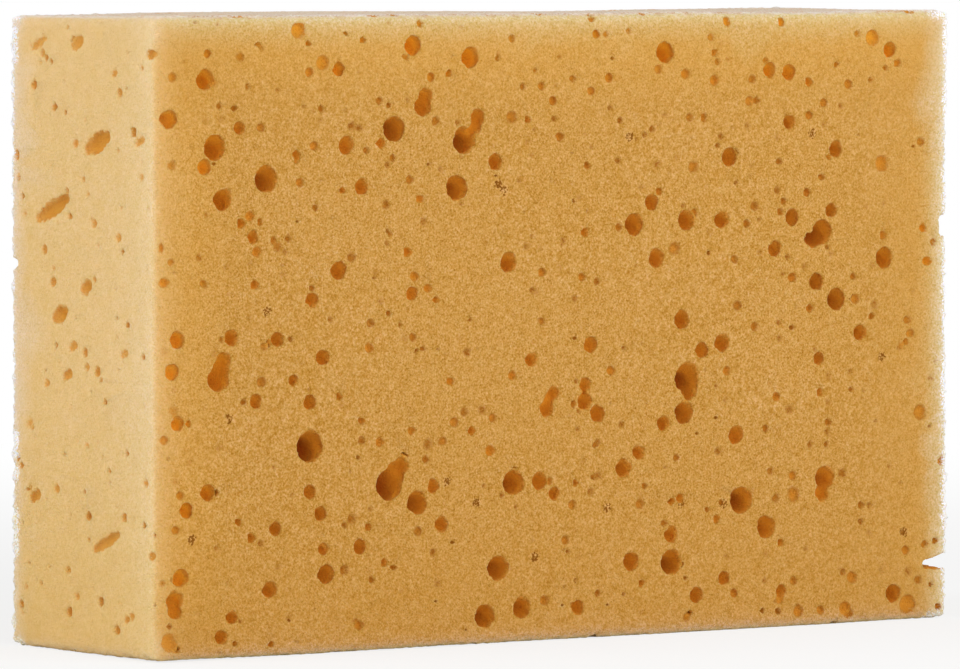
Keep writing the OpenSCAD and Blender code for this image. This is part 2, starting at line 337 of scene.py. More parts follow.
@dataclass(frozen=True)
class WearAndPaintedLight:
    """How the foam's skin changes from place to place, with painted light among real fraying.

    It is paler on the cut faces, partly as cut foam and partly as a painted sheen, and takes
    painted light near the edges: a painted glow of light through them, a painted sheen on the top
    and the edges, and lit places where light reaches through a face. Its grain is evener near
    them, and it is frayed along the upright edges at the back and at the right end.
    """

    # How far the paleness reaches in from each face: on the left end partly the cut foam's colour
    # and partly a painted sheen, from the other faces a painted glow of light through the edges.
    glow_reach: ClassVar[dict[Side, tuple[float, float]]] = {
        Side.LEFT: (6.0 * MM, -1.6 * MM),
        Side.RIGHT: (7.4 * MM, 1.5 * MM),
        Side.BOTTOM: (0.5 * MM, -1.0 * MM),
        Side.TOP: (6.6 * MM, 0.4 * MM),
    }
    glow_power: float = 1.9
    # The painted sheen along the edges and on the top.
    sheen_rim_near: tuple[float, float] = (6 * MM, 2 * MM)
    sheen_rim_shares: tuple[float, ...] = (0.0, 1.3, 0.0, 1.1, 0.5, 0.3)
    sheen_rim_fades: tuple[float, ...] = (1.0, 1.2, 1.0, 2.1, 0.8, 0.8)
    top_sheen_share: float = 0.92
    top_reach: tuple[float, float] = (0.5 * MM, -1.7 * MM)
    top_fade: tuple[float, float] = (2 * MM, 9 * MM)
    top_sheen_loss: float = 0.20
    # The painted glow of light along the left end's front edge.
    end_glow_share: float = 0.65
    end_glow_fade: float = 5.5 * MM
    end_glow_reach: tuple[float, float] = (0.2 * MM, -1.6 * MM)
    calms: tuple[tuple[Side, float, float, float], ...] = (
        (Side.LEFT, 16 * MM, 2 * MM, 0.35), (Side.LEFT, 5 * MM, 0.3 * MM, 0.63),
        (Side.RIGHT, 28 * MM, 4 * MM, 0.42), (Side.BOTTOM, 26 * MM, 4 * MM, 0.22),
        (Side.BOTTOM, 1.5 * MM, 0.3 * MM, 0.40), (Side.TOP, 24 * MM, 4 * MM, 0.44),
    )
    lit_reach: tuple[float, float] = (17 * MM, 3 * MM)
    lit_shares: tuple[float, ...] = (1.0, 0.4, 0.0, 0.0, 0.0, 1.0)
    foot_reach: tuple[float, float] = (2 * MM, 14 * MM)
    fray_reach: tuple[float, float] = (2.8 * MM, 0.3 * MM)
    fray_least: float = 0.55
    end_band: tuple[float, float] = (0.9, 0.97)
    back_band: tuple[float, float] = (0.75, 0.9)
    corner_band: tuple[float, float] = (0.5, 0.9)
    lumps: Lattice = Lattice(4.5 * MM, 21)
    lump_band: tuple[float, float] = (-0.5, 0.6)
    spots: tuple[tuple[float, float], ...] = (
        (32 * MM, 3 * MM), (27.5 * MM, 2 * MM), (18 * MM, 5.5 * MM), (95 * MM, 4 * MM),
    )
    spot_band: tuple[float, float] = (1.0, 0.5)
    spot_reach: tuple[float, float] = (4.5 * MM, 1.0 * MM)

    def pale(self, block: Block, points: np.ndarray, *sides: Side) -> np.ndarray:
        """Finds how pale the foam is: 1 on the cut faces, and fading in from their edges. On the
        left end this is partly the cut foam's colour and partly a painted sheen; from the other
        faces it is a painted glow of light through the edges.

        Args:
            block: The block of foam.
            points: Places, one a row.
            *sides: The cut faces that count.

        Returns:
            A share from 0 to 1 for each place.
        """
        front = block.inset(points)[:, 1]
        found = np.zeros(len(points))
        for side in sides:
            far, near = self.glow_reach[side]
            gap = block.face_distance(points, side) - front
            glow = np.clip((gap - far) / (near - far), 0, 1) ** self.glow_power
            found = np.maximum(found, glow)
        return found

    def calm(self, block: Block, points: np.ndarray) -> np.ndarray:
        """Finds how even the foam's grain is, from 0 to 1: most on the left end.

        Args:
            block: The block of foam.
            points: Places, one a row.

        Returns:
            A share for each place. Each entry of calms names a face, the distances from it at
            which the grain starts to even out and is evenest, and by how much.
        """
        grain = np.ones(len(points))
        for side, far, near, most in self.calms:
            grain *= 1 - most * smooth_step(far, near, block.face_distance(points, side))
        return 1 - grain

    def lit(self, block: Block, points: np.ndarray) -> np.ndarray:
        """Finds how much light reaches each place through a nearby face, from 0 to 1.

        Args:
            block: The block of foam.
            points: Places, one a row.

        Returns:
            A share for each place, which falls to 0 at the foot of the block.
        """
        found = np.zeros(len(points))
        for side, most in zip(Side, self.lit_shares):
            away = block.face_distance(points, side)
            found = np.maximum(found, most * smooth_step(*self.lit_reach, away))
        return found * smooth_step(*self.foot_reach, block.face_distance(points, Side.BOTTOM))

    def rim(self, block: Block, points: np.ndarray) -> np.ndarray:
        """Finds how much painted sheen each place takes, along an edge or on the top, from 0 to 1.

        Args:
            block: The block of foam.
            points: Places, one a row.

        Returns:
            A share for each place.
        """
        edge = np.maximum(block.edge_distance(points), 0) / MM
        beside = block.inset(points)[:, :2].min(axis=1)
        gap = block.face_distance(points, Side.TOP) - beside
        inner = 1 - self.top_sheen_loss * smooth_step(*self.top_fade, beside)
        found = self.top_sheen_share * smooth_step(*self.top_reach, gap) * inner
        for side, most, fade in zip(Side, self.sheen_rim_shares, self.sheen_rim_fades):
            near = smooth_step(*self.sheen_rim_near, block.face_distance(points, side))
            found = np.maximum(found, most * near * np.exp(-edge / fade))
        return np.minimum(found, 1)

    def end(self, block: Block, points: np.ndarray) -> np.ndarray:
        """Finds the painted glow on the left end, from 0 to 1: most along its front edge."""
        ahead = np.maximum(block.face_distance(points, Side.FRONT), 0)
        gap = block.face_distance(points, Side.LEFT) - ahead
        return self.end_glow_share * smooth_step(*self.end_glow_reach, gap) * np.exp(-ahead / self.end_glow_fade)

    def fray(self, block: Block, points: np.ndarray) -> np.ndarray:
        """Finds how badly the skin is torn at each place, from 0 to 1.

        Args:
            block: The block of foam.
            points: Places, one a row.

        Returns:
            A share for each place: the torn upright edges, and a few torn spots at the left
            rear, each given by its height and half its length.
        """
        x, y, _ = block.share(points).T
        gap = block.edge_distance(points)
        right = smooth_step(*self.end_band, x)
        left = smooth_step(*self.end_band, -x)
        back = smooth_step(*self.back_band, y)
        upright = smooth_step(*self.corner_band, np.abs(x))
        upright = upright * smooth_step(*self.corner_band, np.abs(y))
        lumps = smooth_step(*self.lump_band, self.lumps.noise(points))
        lumps = self.fray_least + (1 - self.fray_least) * lumps
        worn = np.maximum(right, back) * upright * smooth_step(*self.fray_reach, gap) * lumps
        spots = np.zeros(len(points))
        for height, size in self.spots:
            away = np.abs(points[:, 2] - block.low[2] - height) / size
            spots = np.maximum(spots, smooth_step(*self.spot_band, away))
        spots *= back * left * smooth_step(*self.spot_reach, gap)
        return np.maximum(worn, spots)


@dataclass
class FoamBlock:
    """The sponge itself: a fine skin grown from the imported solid."""

    name: str = "sponge_foam"
    body: str = "root"
    voxel: float = 0.34 * MM
    triangles: int = 190000
    sway_height: float = 0.22 * MM
    mouth_height: float = 0.22 * MM
    ragged_height: float = 0.26 * MM
    fuzz_height: float = 0.16 * MM
    torn_height: float = 0.55 * MM
    sway: Lattice = Lattice(24 * MM, 5)
    mouth: Lattice = Lattice(2.1 * MM, 6)
    ragged: Lattice = Lattice(0.65 * MM, 7)
    fuzz: Lattice = Lattice(0.7 * MM, 8)
    torn: Lattice = Lattice(0.55 * MM, 10)
    pits: Lattice = Lattice(3.1 * MM, 9)
    pit_radii: tuple[float, float] = (0.3 * MM, 0.9 * MM)
    pit_rarity: float = 2.2
    skin_depth: tuple[float, float] = (0.45 * MM, 0.1 * MM)
    wall_depth: tuple[float, float] = (0.05 * MM, 0.5 * MM)
    rim_depth: tuple[float, float] = (2.2 * MM, 0.4 * MM)
    torn_depth: tuple[float, float] = (1.2 * MM, 0.3 * MM)
    torn_bias: float = 0.05
    sway_depth: tuple[float, float] = (0.9 * MM, 0.4 * MM)
    flat_turn: tuple[float, float] = (0.3, 0.08)
    rim_turn: tuple[float, float] = (0.15, 0.5)
    hidden_turn: float = 0.02
    edge_reach: tuple[float, float] = (3 * MM, 0.8 * MM)
    sag: float = 0.2 * MM
    sag_reach: tuple[float, float] = (1 * MM, 0.0)
    inner_depth: tuple[float, float] = (0.5 * MM, 1.1 * MM)
    inner_rounds: int = 30
    sparse: float = 1.0 * MM
    hollow_most: float = 1.5
    hollow_rounds: int = 1
    wide_most: float = 2.5
    wide_rounds: int = 8
    wear_and_light: WearAndPaintedLight = WearAndPaintedLight()
    block: Block = field(init=False)

    def build(self) -> bpy.types.Object:
        """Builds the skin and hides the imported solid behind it.

        Returns:
            The finished piece, without its material.
        """
        low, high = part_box(FOAM_NODE)
        self.block = Block(np.array(low), np.array(high))
        piece = bpy.data.objects.new(self.name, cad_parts[FOAM_NODE].data.copy())
        bpy.context.scene.collection.objects.link(piece)
        self.even_out(piece)
        self.soften_walls(piece)
        self.roughen(piece.data)
        self.thin_out(piece)
        self.mark(piece.data)
        self.lay_out(piece.data)
        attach(piece, self.body)
        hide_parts(FOAM_NODE)
        return piece

    def apply(self, piece: bpy.types.Object) -> None:
        """Makes the piece's modifiers part of its mesh."""
        graph = bpy.context.evaluated_depsgraph_get()
        finished = bpy.data.meshes.new_from_object(piece.evaluated_get(graph))
        piece.modifiers.clear()
        old = piece.data
        piece.data = finished
        bpy.data.meshes.remove(old)

    def even_out(self, piece: bpy.types.Object) -> None:
        """Gives the mesh an even, fine grid of faces."""
        grid = piece.modifiers.new("even_grid", "REMESH")
        grid.mode = "VOXEL"
        grid.voxel_size = self.voxel
        self.apply(piece)

    def soften_walls(self, piece: bpy.types.Object) -> None:
        """Rounds the ridges between bubbles inside the pores, and leaves the mouths crisp."""
        depth = self.block.depth(self.read(piece.data)[0])
        weights = smooth_step(*self.inner_depth, depth)
        group = piece.vertex_groups.new(name=INNER_GROUP)
        for number in np.flatnonzero(weights > 0):
            group.add([int(number)], float(weights[number]), "REPLACE")
        softer = piece.modifiers.new("soften_walls", "SMOOTH")
        softer.factor = 0.5
        softer.iterations = self.inner_rounds
        softer.vertex_group = INNER_GROUP
        self.apply(piece)
        piece.vertex_groups.clear()

    def read(self, mesh: bpy.types.Mesh) -> tuple[np.ndarray, np.ndarray]:
        """Reads a mesh's points and normals, one a row."""
        points = np.empty(3 * len(mesh.vertices), np.float32)
        normals = np.empty_like(points)
        mesh.vertices.foreach_get("co", points)
        mesh.vertices.foreach_get("normal", normals)
        return points.reshape(-1, 3).astype(float), normals.reshape(-1, 3).astype(float)

    def nearest_side(self, points: np.ndarray) -> tuple[np.ndarray, np.ndarray]:
        """Finds the face of the block that each point is nearest to.

        Args:
            points: Places, one a row.

        Returns:
            The face's number in the order of Side, and its outward direction.
        """
        axis = np.argmin(self.block.inset(points), axis=1)
        rows = np.arange(len(points))
        up = points[rows, axis] > self.block.centre[axis]
        outward = np.zeros_like(points)
        outward[rows, axis] = np.where(up, 1, -1)
        return 2 * axis + up, outward

    def roughen(self, mesh: bpy.types.Mesh) -> None:
        """Makes the skin uneven, the pore mouths ragged and the edges fuzzy, and adds pits.

        Args:
            mesh: The foam's mesh, still on its even grid.
        """
        points, normals = self.read(mesh)
        depth = self.block.depth(points)
        outward = self.nearest_side(points)[1]
        turned = 1 - np.einsum("ij,ij->i", normals, outward)
        skin = smooth_step(*self.skin_depth, depth)
        flat = skin * smooth_step(*self.flat_turn, turned)
        edge = smooth_step(*self.edge_reach, self.block.edge_distance(points)) * skin
        wall = smooth_step(*self.wall_depth, depth)
        rim = smooth_step(*self.rim_turn, turned) * smooth_step(*self.rim_depth, depth)

        sunk = self.pits.carve(points, normals, self.pit_radii, self.pit_rarity) * flat
        sunk += self.sway_height * self.sway.noise(points) * skin
        sunk += self.mouth_height * self.mouth.noise(points) * wall
        sunk += self.ragged_height * self.ragged.noise(points) * rim
        sunk += self.fuzz_height * self.fuzz.noise(points) * edge
        torn = self.wear_and_light.fray(self.block, points) * smooth_step(*self.torn_depth, depth)
        sunk += self.torn_height * (self.torn.noise(points) - self.torn_bias) * torn
        points -= normals * sunk[:, None]
        below_top = self.block.face_distance(points, Side.TOP)
        points[:, 2] -= self.sag * smooth_step(*self.sag_reach, below_top)
        points[:, 2] = np.maximum(points[:, 2], self.block.low[2])
        mesh.vertices.foreach_set("co", points.astype(np.float32).ravel())
        mesh.update()

    def thin_out(self, piece: bpy.types.Object) -> None:
        """Brings the mesh down to its budget of triangles, fewest where the skin is flat."""
        thinner = piece.modifiers.new("thin_out", "DECIMATE")
        thinner.ratio = self.triangles / (2 * len(piece.data.polygons))
        thinner.use_collapse_triangulate = True
        self.apply(piece)
        piece.data.shade_smooth()

    def spread(self, mesh: bpy.types.Mesh, values: np.ndarray, rounds: int) -> np.ndarray:
        """Blurs a value over the skin, so that it reaches past the pore mouths.

        Args:
            mesh: The foam's mesh.
            values: One value for each point.
            rounds: How many times each point is averaged with its neighbours.

        Returns:
            The blurred values.
        """
        ends = np.empty(2 * len(mesh.edges), np.int32)
        mesh.edges.foreach_get("vertices", ends)
        first, second = ends.reshape(-1, 2).T
        count = 1 + np.bincount(ends, minlength=len(values))
        for _ in range(rounds):
            total = values + np.bincount(first, values[second], len(values))
            total += np.bincount(second, values[first], len(values))
            values = total / count
        return values

    def longest_edge(self, mesh: bpy.types.Mesh) -> np.ndarray:
        """Measures the longest edge that meets each point."""
        points = self.read(mesh)[0]
        ends = np.empty(2 * len(mesh.edges), np.int32)
        mesh.edges.foreach_get("vertices", ends)
        first, second = ends.reshape(-1, 2).T
        length = np.linalg.norm(points[first] - points[second], axis=1)
        longest = np.zeros(len(points))
        np.maximum.at(longest, first, length)
        np.maximum.at(longest, second, length)
        return longest

    def mark(self, mesh: bpy.types.Mesh) -> None:
        """Stores what the finish needs to know about each point: see Mark. Depths are in mm."""
        points = self.read(mesh)[0]
        depth = self.block.depth(points)
        sway = self.sway_height * self.sway.noise(points)
        depth = (depth - sway * smooth_step(*self.sway_depth, depth)) / MM
        hollow = np.clip(depth, 0, self.hollow_most)
        spread = self.spread(mesh, hollow, self.hollow_rounds)
        wide = self.spread(mesh, np.clip(depth, 0, self.wide_most), self.wide_rounds)
        fine = self.longest_edge(mesh) < self.sparse
        marks = {
            Mark.DEPTH: depth,
            Mark.HOLLOW: np.where(fine, spread, hollow),
            Mark.WIDE: wide,
            Mark.PALE: self.wear_and_light.pale(self.block, points, Side.LEFT),
            Mark.GLOW: self.wear_and_light.pale(self.block, points, Side.RIGHT, Side.BOTTOM, Side.TOP),
            Mark.RIM: self.wear_and_light.rim(self.block, points),
            Mark.LIT: self.wear_and_light.lit(self.block, points),
            Mark.END: self.wear_and_light.end(self.block, points),
            Mark.FRAY: self.wear_and_light.fray(self.block, points),
            Mark.CALM: self.wear_and_light.calm(self.block, points),
        }
        for mark, values in marks.items():
            layer = mesh.attributes.new(mark.value, "FLOAT", "POINT")
            layer.data.foreach_set("value", values.astype(np.float32))

    def lay_out(self, mesh: bpy.types.Mesh) -> None:
        """Gives the mesh its flat layout, face by face of the block."""
        points = self.read(mesh)[0]
        corner = np.empty(len(mesh.loops), np.int32)
        mesh.loops.foreach_get("vertex_index", corner)
        triangle = points[corner].reshape(-1, 3, 3)
        across = np.cross(triangle[:, 1] - triangle[:, 0], triangle[:, 2] - triangle[:, 0])
        across /= np.maximum(np.linalg.norm(across, axis=1, keepdims=True), 1e-12)
        middle = triangle.mean(axis=1)
        side, outward = self.nearest_side(middle)
        hidden = np.einsum("ij,ij->i", across, outward) < self.hidden_turn
        flat = Atlas(self.block).lay(points[corner], np.repeat(side, 3), np.repeat(hidden, 3))
        layer = mesh.uv_layers.new(name=BAKE_MAP)
        layer.data.foreach_set("uv", flat.astype(np.float32).ravel())


class Graph:
    """A short way to add and join shader nodes in one node tree."""

    def __init__(self, tree: bpy.types.NodeTree) -> None:
        """Starts with an empty tree."""
        self.tree = tree
        tree.nodes.clear()

    def add(self, kind: str, inputs: dict | None = None, **settings) -> bpy.types.Node:
        """Adds a node.

        Args:
            kind: The node's type, without its ShaderNode prefix.
            inputs: Value or output socket for each input, by name or number.
            **settings: The node's own settings.

        Returns:
            The new node.
        """
        full = kind if kind.startswith("NodeGroup") else "ShaderNode" + kind
        node = self.tree.nodes.new(full)
        for key, value in settings.items():
            setattr(node, key, value)
        for key, value in (inputs or {}).items():
            if isinstance(value, bpy.types.NodeSocket):
                self.tree.links.new(value, node.inputs[key])
            else:
                node.inputs[key].default_value = value
        return node

    def math(self, operation: str, *values, clamp: bool = False) -> bpy.types.NodeSocket:
        """Adds a sum, product or other operation on numbers, and returns its result."""
        node = self.add("Math", dict(enumerate(values)), operation=operation, use_clamp=clamp)
        return node.outputs[0]

    def vector(self, operation: str, *values) -> bpy.types.NodeSocket:
        """Adds an operation on places or directions, and returns its result."""
        return self.add("VectorMath", dict(enumerate(values)), operation=operation).outputs[0]

    def step(self, value: bpy.types.NodeSocket, low: float, high: float) -> bpy.types.NodeSocket:
        """Adds a smooth rise from 0 at low to 1 at high.

        Args:
            value: The value to read it at.
            low: Value at which the rise starts.
            high: Value at which it ends. It may be below low, and then it falls.

        Returns:
            The socket that holds it.
        """
        node = self.add(
            "MapRange", {"Value": value, "From Min": low, "From Max": high},
            interpolation_type="SMOOTHSTEP",
        )
        return node.outputs["Result"]

    def mix(self, share, first, second, blend: str = "MIX") -> bpy.types.NodeSocket:
        """Adds a mix of two colours and returns its result."""
        node = self.add(
            "Mix", {0: share, 6: first, 7: second}, data_type="RGBA", blend_type=blend,
        )
        return node.outputs[2]


@dataclass(frozen=True)
class CellLayer:
    """A layer of foam cells of one width, as a node group that the foam's material places once."""

    group_name: str = "foam_cells"
    bend_detail: float = 1.0
    hollow_reach: tuple[float, float] = (0.55, 0.15)

    def tree(self) -> bpy.types.NodeTree:
        """Builds the group once, and returns it.

        Its inputs are Place, Cells per Metre, Wobble, and Open Share. Its output Hollow is 1 in
        the middle of an open cell and 0 on its walls, and Shade is a random value for each cell.

        Returns:
            The node group's tree.
        """
        found = bpy.data.node_groups.get(self.group_name)
        if found:
            return found
        tree = bpy.data.node_groups.new(self.group_name, "ShaderNodeTree")
        face = tree.interface
        face.new_socket("Place", in_out="INPUT", socket_type="NodeSocketVector")
        for name in ("Cells per Metre", "Wobble", "Open Share"):
            face.new_socket(name, in_out="INPUT", socket_type="NodeSocketFloat")
        for name in ("Hollow", "Shade"):
            face.new_socket(name, in_out="OUTPUT", socket_type="NodeSocketFloat")
        graph = Graph(tree)
        given = tree.nodes.new("NodeGroupInput")
        result = tree.nodes.new("NodeGroupOutput")
        scale = given.outputs["Cells per Metre"]
        bend = graph.add("TexNoise", {
            "Vector": given.outputs["Place"], "Scale": scale, "Detail": self.bend_detail,
        })
        centred = graph.vector("SUBTRACT", bend.outputs["Color"], (0.5, 0.5, 0.5))
        reach = graph.math("DIVIDE", given.outputs["Wobble"], scale)
        shift = graph.add("VectorMath", {0: centred, "Scale": reach}, operation="SCALE")
        place = graph.vector("ADD", given.outputs["Place"], shift.outputs[0])
        cells = graph.add("TexVoronoi", {"Vector": place, "Scale": scale})
        parts = graph.add("SeparateColor", {"Color": cells.outputs["Color"]})
        hollow = graph.step(cells.outputs["Distance"], *self.hollow_reach)
        opened = graph.math("LESS_THAN", parts.outputs[0], given.outputs["Open Share"])
        tree.links.new(graph.math("MULTIPLY", hollow, opened), result.inputs["Hollow"])
        tree.links.new(parts.outputs[1], result.inputs["Shade"])
        return tree


@dataclass(frozen=True)
class Speckle:
    """A layer of noise in the foam: its features per metre, its finer layers and its strength."""

    scale: float
    detail: float
    strength: float = 1.0


@dataclass(frozen=True)
class FoamFinish:
    """Yellow ochre open-cell foam: matte and finely grained, painted deep orange in its pores.

    The pores turn darker and more saturated with depth, as painted shade and painted
    inter-reflected light. The two wiping faces are the darkest. The left end is pale cream, partly
    its cut colour and partly a painted sheen, with a painted glow along its front edge. The right
    end, the bottom and the top take a painted glow of light, the top and the edges a painted
    sheen, places where light reaches through a face painted lit copies of the colours, and the
    foot a painted shade. Each stain is a small group of dark cells on the front, at so many mm
    right of the middle and up from the foot.
    """

    name: str = "foam"
    skin: Colour = (0.803, 0.605, 0.294)
    # The left end's colour, partly the cut foam's own and partly a painted sheen.
    cut: Colour = (0.909, 0.764, 0.510)
    lit_skin: Colour = (0.832, 0.630, 0.304)
    # A painted glow of light through the right end, the bottom and the top.
    glow: Colour = (0.859, 0.758, 0.512)
    # A painted glow of light along the left end's front edge.
    end: Colour = (0.958, 0.872, 0.688)
    # A painted sheen on the top and along the edges.
    rim: Colour = (0.945, 0.914, 0.876)
    torn: Colour = (0.985, 0.970, 0.950)
    # Pore and pit colours: darker and more saturated with depth, as painted shade and painted
    # inter-reflected light; the lit_ copies add painted light.
    dimple: Colour = (0.635, 0.372, 0.066)
    lit_dimple: Colour = (0.750, 0.498, 0.135)
    lip: Colour = (0.800, 0.540, 0.175)
    pore: Colour = (0.845, 0.545, 0.125)
    shaded_core: Colour = (0.620, 0.268, 0.014)
    lit_pore: Colour = (0.955, 0.672, 0.150)
    lit_core: Colour = (0.875, 0.520, 0.040)
    # The pore colours on the left end, lighter there partly as painted light.
    cut_lip: Colour = (0.880, 0.660, 0.330)
    cut_pore: Colour = (0.870, 0.620, 0.240)
    cut_core: Colour = (0.800, 0.500, 0.120)
    speck: Colour = (0.580, 0.365, 0.095)
    wide_reach: tuple[float, float] = (0.15, 0.4)
    lip_reach: tuple[float, float] = (0.10, 0.41)
    pore_reach: tuple[float, float] = (0.25, 1.4)
    shaded_core_reach: tuple[float, float] = (1.8, 5.0)
    torn_reach: tuple[float, float] = (0.3, 0.8)
    inside_reach: tuple[float, float] = (1.2, 0.3)
    inside_grain: float = 0.2
    cells_per_metre: float = 2900.0
    cell_wobble: float = 0.9
    cell_open_share: float = 0.8
    cell_shade: float = 0.20
    # Painted shade in the open cells.
    cell_hollow_shade: float = 0.16
    cell_sink: float = 0.6
    grit: Speckle = Speckle(3000.0, 2.0, 1.60)
    mottle: Speckle = Speckle(900.0, 1.0, 0.48)
    cloud: Speckle = Speckle(40.0, 2.0, 0.10)
    blotch: Speckle = Speckle(380.0, 1.0, 0.10)
    fuzz: Speckle = Speckle(3600.0, 2.0)
    level: float = 1.03
    tint_powers: Place = (0.54, 0.88, 2.6)
    foot_height: float = 42 * MM
    foot_shade: float = 0.045
    roughness: float = 0.95
    diffuse_roughness: float = 0.5
    shine: float = 0.15
    sheen: float = 0.05
    sheen_roughness: float = 0.4
    sheen_tint: Colour = (1.0, 0.80, 0.45)
    soft: float = 0.25
    soft_reach: Place = (1.0, 0.6, 0.3)
    soft_scale: float = 3.0 * MM
    bump: float = 0.13 * MM
    mouth_grit: float = 3.0
    torn_grit: float = 4.0
    stain_grit: float = 2.5
    stain_band: tuple[float, float] = (0.7, 1.0)
    stain_size: float = 1.5 * MM
    stain_core: float = 0.3 * MM
    stains: tuple[tuple[float, float], ...] = (
        (-64, 37.5), (-71, 19), (-22.8, 26.2), (-17.2, 22.6), (-13, 73), (-12, 72), (8.2, 20.8),
        (-6, 13.5), (23, 21), (-57, 54), (57.5, 53), (49, 80), (12.5, 80), (63.5, 43.5),
        (68, 14.5), (31.5, 20.5),
    )

    def material(self) -> bpy.types.Material:
        """Builds the material.

        Returns:
            The material.
        """
        material = bpy.data.materials.new(self.name)
        material.use_nodes = True
        graph = Graph(material.node_tree)
        place = graph.add("TexCoord").outputs["Object"]
        cells = self.cells(graph, place)
        colour = self.colour(graph, place, cells)
        shader = graph.add("BsdfPrincipled", {
            "Base Color": colour,
            "Roughness": self.roughness,
            "Diffuse Roughness": self.diffuse_roughness,
            "Specular IOR Level": self.shine,
            "Subsurface Weight": self.soft,
            "Subsurface Radius": self.soft_reach,
            "Subsurface Scale": self.soft_scale,
            "Sheen Weight": self.sheen,
            "Sheen Roughness": self.sheen_roughness,
            "Sheen Tint": (*self.sheen_tint, 1.0),
            "Normal": self.bumps(graph, place, cells),
        })
        graph.add("OutputMaterial", {"Surface": shader.outputs[0]})
        return material

    def cells(self, graph: Graph, place: bpy.types.NodeSocket) -> bpy.types.Node:
        """Places the layer of cells in the material.

        Args:
            graph: The material's nodes.
            place: The point's place in the row frame.

        Returns:
            The group's node, with its outputs Hollow and Shade.
        """
        node = graph.tree.nodes.new("ShaderNodeGroup")
        node.node_tree = CellLayer().tree()
        graph.tree.links.new(place, node.inputs["Place"])
        node.inputs["Cells per Metre"].default_value = self.cells_per_metre
        node.inputs["Wobble"].default_value = self.cell_wobble
        node.inputs["Open Share"].default_value = self.cell_open_share
        return node

    def colour(self, graph: Graph, place: bpy.types.NodeSocket,
               cells: bpy.types.Node) -> bpy.types.NodeSocket:
        """Builds the foam's colour.

        Args:
            graph: The material's nodes.
            place: The point's place in the row frame.
            cells: The layer of fine cells.

        Returns:
            The socket that holds the colour.
        """
        depth, hollow, wide, pale, glow, rim, lit, end, fray, calm = (
            graph.add("Attribute", attribute_name=mark.value).outputs["Fac"] for mark in Mark
        )
        grit = self.noise(graph, place, self.grit)
        # Painted light: lit copies where light reaches through a face, a painted glow through the
        # right end, the bottom and the top, the left end partly its cut colour and partly a
        # painted sheen, a painted glow along its front edge, and a painted sheen on the top and
        # the edges.
        base = graph.mix(lit, self.paint(self.skin), self.paint(self.lit_skin))
        base = graph.mix(glow, base, self.paint(self.glow))
        base = graph.mix(pale, base, self.paint(self.cut))
        base = graph.mix(end, base, self.paint(self.end))
        base = graph.mix(rim, base, self.paint(self.rim))
        stain = graph.math("MULTIPLY_ADD", grit, -self.stain_grit, self.stained(graph, place))
        base = graph.mix(graph.step(stain, *self.stain_band), base, self.paint(self.speck))
        # Pore and pit colours by depth: painted shade and painted inter-reflected light.
        ragged = graph.math("MULTIPLY_ADD", grit, self.mouth_grit, 1.0)
        ragged = graph.math("MULTIPLY", hollow, ragged)
        lip = graph.mix(lit, self.paint(self.dimple), self.paint(self.lit_dimple))
        lip = graph.mix(graph.step(wide, *self.wide_reach), lip, self.paint(self.lip))
        lip = graph.mix(pale, lip, self.paint(self.cut_lip))
        base = graph.mix(graph.step(ragged, *self.lip_reach), base, lip)
        for reach, plain, bright, cut in (
            (self.pore_reach, self.pore, self.lit_pore, self.cut_pore),
            (self.shaded_core_reach, self.shaded_core, self.lit_core, self.cut_core),
        ):
            wall = graph.mix(lit, self.paint(plain), self.paint(bright))
            wall = graph.mix(pale, wall, self.paint(cut))
            base = graph.mix(graph.step(depth, *reach), base, wall)
        shreds = graph.math("MULTIPLY_ADD", grit, self.torn_grit, 1.0)
        shreds = graph.math("MULTIPLY", fray, shreds)
        base = graph.mix(graph.step(shreds, *self.torn_reach), base, self.paint(self.torn))

        contrast = graph.math("SUBTRACT", 1.0, graph.math("MAXIMUM", calm, rim))
        inside = graph.step(depth, *self.inside_reach)
        inside = graph.math("MULTIPLY_ADD", inside, 1 - self.inside_grain, self.inside_grain)
        contrast = graph.math("MULTIPLY", contrast, inside)
        sand = self.grain(graph, place, cells, grit)
        level = graph.math("ADD", self.drift(graph, place, pale), self.level)
        light = graph.math("MULTIPLY_ADD", sand, contrast, level)
        tints = {
            channel: graph.math("POWER", light, power)
            for channel, power in enumerate(self.tint_powers)
        }
        tone = graph.add("CombineColor", tints).outputs[0]
        return graph.mix(1.0, base, tone, "MULTIPLY")

    def grain(self, graph: Graph, place: bpy.types.NodeSocket, cells: bpy.types.Node,
              grit: bpy.types.NodeSocket) -> bpy.types.NodeSocket:
        """Builds the fine light and dark of the skin's cells, with painted shade in their hollows.

        Args:
            graph: The material's nodes.
            place: The point's place in the row frame.
            cells: The layer of fine cells.
            grit: The finest noise, around 0.

        Returns:
            The socket that holds it, as a change of brightness around 0.
        """
        shade = graph.math("SUBTRACT", cells.outputs["Shade"], 0.5)
        shade = graph.math("MULTIPLY", shade, self.cell_shade)
        sand = graph.math("MULTIPLY_ADD", grit, self.grit.strength, shade)
        # Painted shade in the open cells.
        sand = graph.math("MULTIPLY_ADD", cells.outputs["Hollow"], -self.cell_hollow_shade, sand)
        mottle = self.noise(graph, place, self.mottle)
        return graph.math("MULTIPLY_ADD", mottle, self.mottle.strength, sand)

